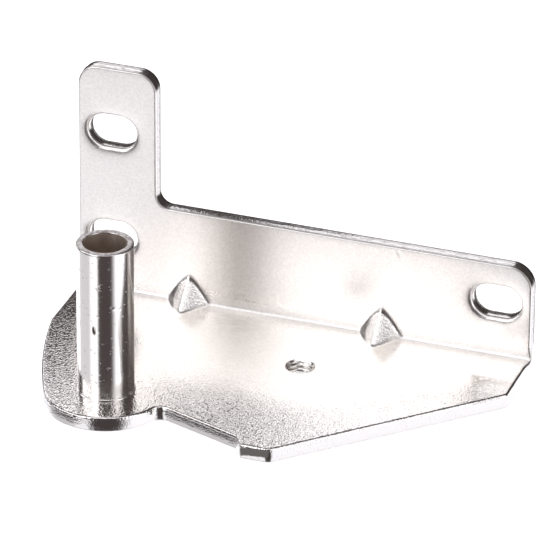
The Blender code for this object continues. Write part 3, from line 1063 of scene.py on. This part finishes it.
def new_material(name):
    """A material with an empty tree. Returns it, its network and its object coordinates."""
    material = bpy.data.materials.new(name)
    net = empty_network(material)
    return material, net, net.coordinates("Object")


def end_material(net, settings):
    shader = net.add("ShaderNodeBsdfPrincipled", inputs=settings)
    net.add("ShaderNodeOutputMaterial", inputs={0: net.out(shader)})


def bump(net, height, rise):
    return net.make("ShaderNodeBump", inputs={"Strength": 1.0, "Distance": rise, "Height": height})


def plated_sheet():
    """Bright plating over the fine orange peel of rolled sheet, coarser on the broken part of a cut edge."""
    material, net, place = new_material("plated_sheet")
    zone = sheet_zones(net, place)
    height = GRAIN_ON["sheet"] + GRAIN_ON["plate"] * zone.on_plate + GRAIN_ON["front"] * zone.in_front
    height = height + GRAIN_ON["dart"] * zone.on_dart + GRAIN_ON["cut"] * zone.on_cut
    height = height * net.noise(place, GRAIN_SIZE, 0.0) + PEEL_SHARE * net.noise(place, PEEL_SIZE, 1.0)
    height = height + BROKEN_SHARE * zone.torn * net.noise(place, BROKEN_SIZE, 2.0)
    rough = ROUGH_ON["sheet"] + ROUGH_ON["plate"] * zone.on_plate + ROUGH_ON["front"] * zone.in_front
    rough = rough + zone.on_dart * (ROUGH_ON["dart_foot"] * zone.on_plate + ROUGH_ON["dart"])
    rough = rough + ROUGH_ON["fold"] * zone.in_fold
    rough = rough * (1 - zone.on_cut) + CUT_ROUGHNESS * zone.on_cut + TORN_ROUGHNESS * zone.torn
    settings = {
        "Base Color": sheet_colour(net, place, zone),
        "Metallic": 1.0,
        "Roughness": rough,
        "Normal": bump(net, height, SHEET_BUMP),
    }
    end_material(net, settings)
    return material


def sheet_zones(net, place):
    """How much of each zone of the sheet there is at a place, from 0 to 1."""
    x, y, z = net.split(place)
    cut = net.attribute("cut_face")
    lift = net.attribute("lift")
    on_cut = net.step(cut, *CUT_RAMP)
    on_plate = net.step(z, *PLATE_RAMP) * (1 - on_cut)
    from_front = y - FRONT_SLOPE * net.most(x - FRONT_TURN, 0.0)
    corner = (z - PLATE_TOP) - (y + SHEET)
    on_dart = net.step(lift, *DART_RAMP)
    return SimpleNamespace(
        on_cut=on_cut,
        torn=net.step(cut, *TORN_RAMP),
        on_plate=on_plate,
        in_front=on_plate * net.most(net.step(from_front, *FRONT_RAMP), net.step(x, *LOBE_RAMP)),
        on_dart=on_dart,
        in_fold=net.step(corner, *FOLD_RAMP) * (1 - on_dart),
        crease_shaded=crease_shade(net, x, corner, lift),
        dark_patched=dark_patch(net, place, x, y) * on_plate,
        upper_cut=on_cut * net.step(z, *UPPER_CUT_RAMP),
        scored_and_far_shaded=scores_and_far_shade(net, x, y, z),
    )


def crease_shade(net, x, corner, lift):
    """Painted shade along the foot of each dart's left side, widest at the fold."""
    left = 0.0
    for middle in DART_XS:
        left = left + net.band(x, [middle + offset for offset in CREASE_SHADE_BAND])
    width = CREASE_SHADE_WIDTH + CREASE_SHADE_SPREAD * net.step(corner, *CREASE_SHADE_RAMP)
    return left * net.step(lift, *CREASE_SHADE_START) * net.step(lift, width, CREASE_SHADE_CORE * width)


def dark_patch(net, place, x, y):
    """A dull dark patch painted by the plate's right corner, with a slanted left side, broken up in spots."""
    slanted = x + DARK_PATCH_SLANT * (y - DARK_PATCH_BACK)
    patch = net.step(slanted, DARK_PATCH_LEFT, DARK_PATCH_LEFT + DARK_PATCH_LEFT_FADE)
    patch = patch * net.step(y, DARK_PATCH_BACK, DARK_PATCH_BACK - DARK_PATCH_BACK_FADE)
    patch = patch * net.step(x, DARK_PATCH_LEFT + DARK_PATCH_RIGHT_FADE, DARK_PATCH_LEFT)
    return patch * net.step(net.noise(place, DARK_PATCH_SPOTS, 1.0), *DARK_PATCH_RAMP)


def scores_and_far_shade(net, x, y, z):
    """Dark score lines that run along a cut edge, and painted shade on its broken far side."""
    streaks = net.noise(net.join(STREAK_SQUEEZE * x, y, z), STREAK_SIZE, 1.0)
    return net.most(net.step(streaks, *STREAK_RAMP) * STREAK_SHARE, net.step(y, *FAR_SIDE_SHADE_RAMP))


def sheet_colour(net, place, zone):
    """The plating's colour. The flange's cut edges are painted darker than the plate's as painted shade, and
    carry score lines.
    """
    drift = net.noise(place, DRIFT_SIZE, 1.0)
    spots = net.noise(place, MOTTLE_SIZE, 1.0)
    mottle = net.step(DRIFT_SHARE * drift + (1 - DRIFT_SHARE) * spots, *MOTTLE_RAMP)
    base = net.mix_colour(mottle, LIGHT_PLATING, DARK_PLATING)
    layers = (
        # A dark patch painted by the plate's right corner
        (zone.dark_patched, DARK_PATCH_PLATING),
        # Painted shade along the foot of each dart's left side
        (zone.crease_shaded * CREASE_SHADE_SHARE, PAINTED_CREASE_SHADE),
        # Painted shade on the front of the plate and its lobe
        (zone.in_front * FRONT_SHADE_SHARE, FRONT_PAINTED_SHADE),
        (zone.on_cut, PLATE_CUT),
        # Painted shade on the flange's cut edges
        (zone.upper_cut, FLANGE_CUT_SHADE),
        # Score lines, and painted shade on the far side of the flange's cut edges
        (zone.upper_cut * zone.scored_and_far_shaded, SCORES_AND_FAR_SHADE),
    )
    for share, shade in layers:
        base = net.mix_colour(share, base, shade)
    return base


def plated_tube():
    """Smooth bright plating on drawn tube. Its bore is painted dull brown: a brown tone, darkened as painted
    shade inside the tube.
    """
    material, net, place = new_material("plated_tube")
    x, y, z = net.split(place)
    radius = net.maths("SQRT", (x - PIN.x) * (x - PIN.x) + (y - PIN.y) * (y - PIN.y))
    in_bore = net.step(radius, *BORE_RAMP) * net.step(z, *BORE_MOUTH_RAMP)
    on_end = net.step(z, *END_RAMP)
    fine = net.noise(place, FINE_SIZE, 2.0)
    specks = net.step(net.noise(place, SPECK_SIZE, 0.0), *SPECK_RAMP)
    # The bore's brown tone, darkened as painted shade inside the tube
    base = net.mix_colour(in_bore, PIN_PLATING, BORE_BROWN_AND_SHADE)
    scuffed = net.mix_colour(net.step(fine, *SCUFF_RAMP), SCUFF_DARK, SCUFF_LIGHT)
    rough = PIN_ROUGH_ON["pin"] + PIN_ROUGH_ON["fine"] * fine + PIN_ROUGH_ON["bore"] * in_bore
    rough = rough + PIN_ROUGH_ON["speck"] * specks + PIN_ROUGH_ON["end"] * on_end
    height = fine + SPECK_RISE * specks + END_RISE * on_end * net.noise(place, SCUFF_SIZE, 1.0)
    settings = {
        "Base Color": net.mix_colour(on_end, base, scuffed),
        "Metallic": 1.0,
        "Roughness": rough,
        "Normal": bump(net, height, PIN_BUMP),
    }
    end_material(net, settings)
    return material


def facing(azimuth, elevation):
    """The direction at an azimuth from the front towards +X, and at an elevation."""
    level = math.cos(elevation)
    return Vector((math.sin(azimuth) * level, -math.cos(azimuth) * level, math.sin(elevation)))


def make_camera():
    back = facing(VIEW_AZIMUTH, VIEW_ELEVATION)
    data = bpy.data.cameras.new("camera")
    data.lens = LENS
    data.sensor_width = SENSOR
    data.clip_start = CLIP_START
    camera = new_object("camera", data)
    camera.rotation_euler = back.to_track_quat("Z", "Y").to_euler()
    camera.rotation_euler.rotate_axis("Z", VIEW_ROLL)
    camera.location = VIEW_AIM + back * VIEW_DISTANCE
    bpy.context.scene.camera = camera


def make_world():
    """A studio that shows plain white to the camera and in diffuse light, and its panels in the plating."""
    world = bpy.data.worlds.new("studio")
    bpy.context.scene.world = world
    net = empty_network(world)
    light = reflected_studio(net, net.coordinates("Generated"))
    shade = net.mix_colour(light, DARK_ROOM, WHITE_PANELS)
    path = net.add("ShaderNodeLightPath")
    plain = net.out(path, "Is Camera Ray") + net.out(path, "Is Diffuse Ray")
    shown = net.mix_colour(plain, shade, WHITE)
    background = net.add("ShaderNodeBackground", inputs={"Color": shown, "Strength": 1.0})
    net.add("ShaderNodeOutputWorld", inputs={0: net.out(background)})


def reflected_studio(net, direction):
    """Share of white in each direction."""
    x, y, z = net.split(direction)
    degree = math.degrees(1)
    azimuths = {
        "front": net.maths("ARCTAN2", x, -y) * degree,
        "back": net.maths("ARCTAN2", x, y) * degree,
    }
    overhead = net.maths("ARCTAN2", z, y) * degree
    elevation = net.maths("ARCSINE", z) * degree
    level = WALLS + WALLS_GAIN * net.band(azimuths["front"], WALLS_BAND)
    level = level + (CEILING - level) * net.step(elevation, *CEILING_RAMP)
    table = net.step(elevation, *TABLE_RAMP)
    level = level + (TABLE - level) * table
    for depth, band in TABLE_SHADES:
        level = level - depth * table * net.band(azimuths["front"], band)
    for side, band, heights, depth in GAPS:
        level = level * (1 - depth * net.band(azimuths[side], band) * net.band(elevation, heights))
    level = level * (1 - net.band(overhead, OVERHEAD_GAP))
    return level * (1 - NADIR_DEPTH * net.step(elevation, *NADIR_GAP))


def new_rectangle(name, width, depth):
    """A flat rectangle round its origin."""
    mesh = bpy.data.meshes.new(name)
    bm = bmesh.new()
    bmesh.ops.create_grid(bm, x_segments=1, y_segments=1, size=0.5)
    bmesh.ops.scale(bm, vec=(width, depth, 1.0), verts=bm.verts)
    bm.to_mesh(mesh)
    bm.free()
    return new_object(name, mesh)


def make_floor():
    """A plain pale floor just under the object, which the plating doesn't mirror."""
    floor = new_rectangle("floor", FLOOR_SIZE, FLOOR_SIZE)
    floor.location.z = UNDERSIDE - FLOOR_GAP
    floor.visible_glossy = False
    material, net, _ = new_material("pale_floor")
    settings = {
        "Base Color": FLOOR_PAINT,
        "Roughness": FLOOR_ROUGHNESS,
        "Specular IOR Level": 0.0,
        "Emission Color": WHITE,
        "Emission Strength": FLOOR_GLOW,
    }
    end_material(net, settings)
    floor.data.materials.append(material)


def make_card(name, angles, distance, low, high, shade, fade_width):
    """A card that shows only in reflections, square to a direction from the origin. It runs from low to high,
    each sideways and up across that direction, and fades into the white panels over the given width."""
    toward = facing(*angles)
    side = Vector((0, 0, 1)).cross(toward).normalized()
    up = toward.cross(side)
    middle = (Vector(low) + Vector(high)) / 2
    size = Vector(high) - Vector(low)
    card = new_rectangle(name, size.x, size.y)
    card.rotation_euler = (-toward).to_track_quat("Z", "Y").to_euler()
    card.location = toward * distance + side * middle.x + up * middle.y
    card.visible_camera = False
    card.visible_diffuse = False
    card.visible_shadow = False
    material, net, place = new_material(name)
    if fade_width:
        x, y, _ = net.split(place)
        fade = net.step(abs(x), size.x / 2, size.x / 2 - fade_width)
        fade = fade * net.step(abs(y), size.y / 2, size.y / 2 - fade_width)
        shade = net.mix_colour(fade, WHITE_PANELS, shade)
    end_material(net, {"Base Color": BLACK, "Emission Color": shade, "Emission Strength": 1.0})
    card.data.materials.append(material)


def main():
    make_camera()
    make_world()
    make_floor()
    for card in CARDS:
        make_card(*card)
    make_bracket(plated_sheet())
    make_pin(plated_tube())
    bpy.context.scene.view_settings.view_transform = "Standard"


main()
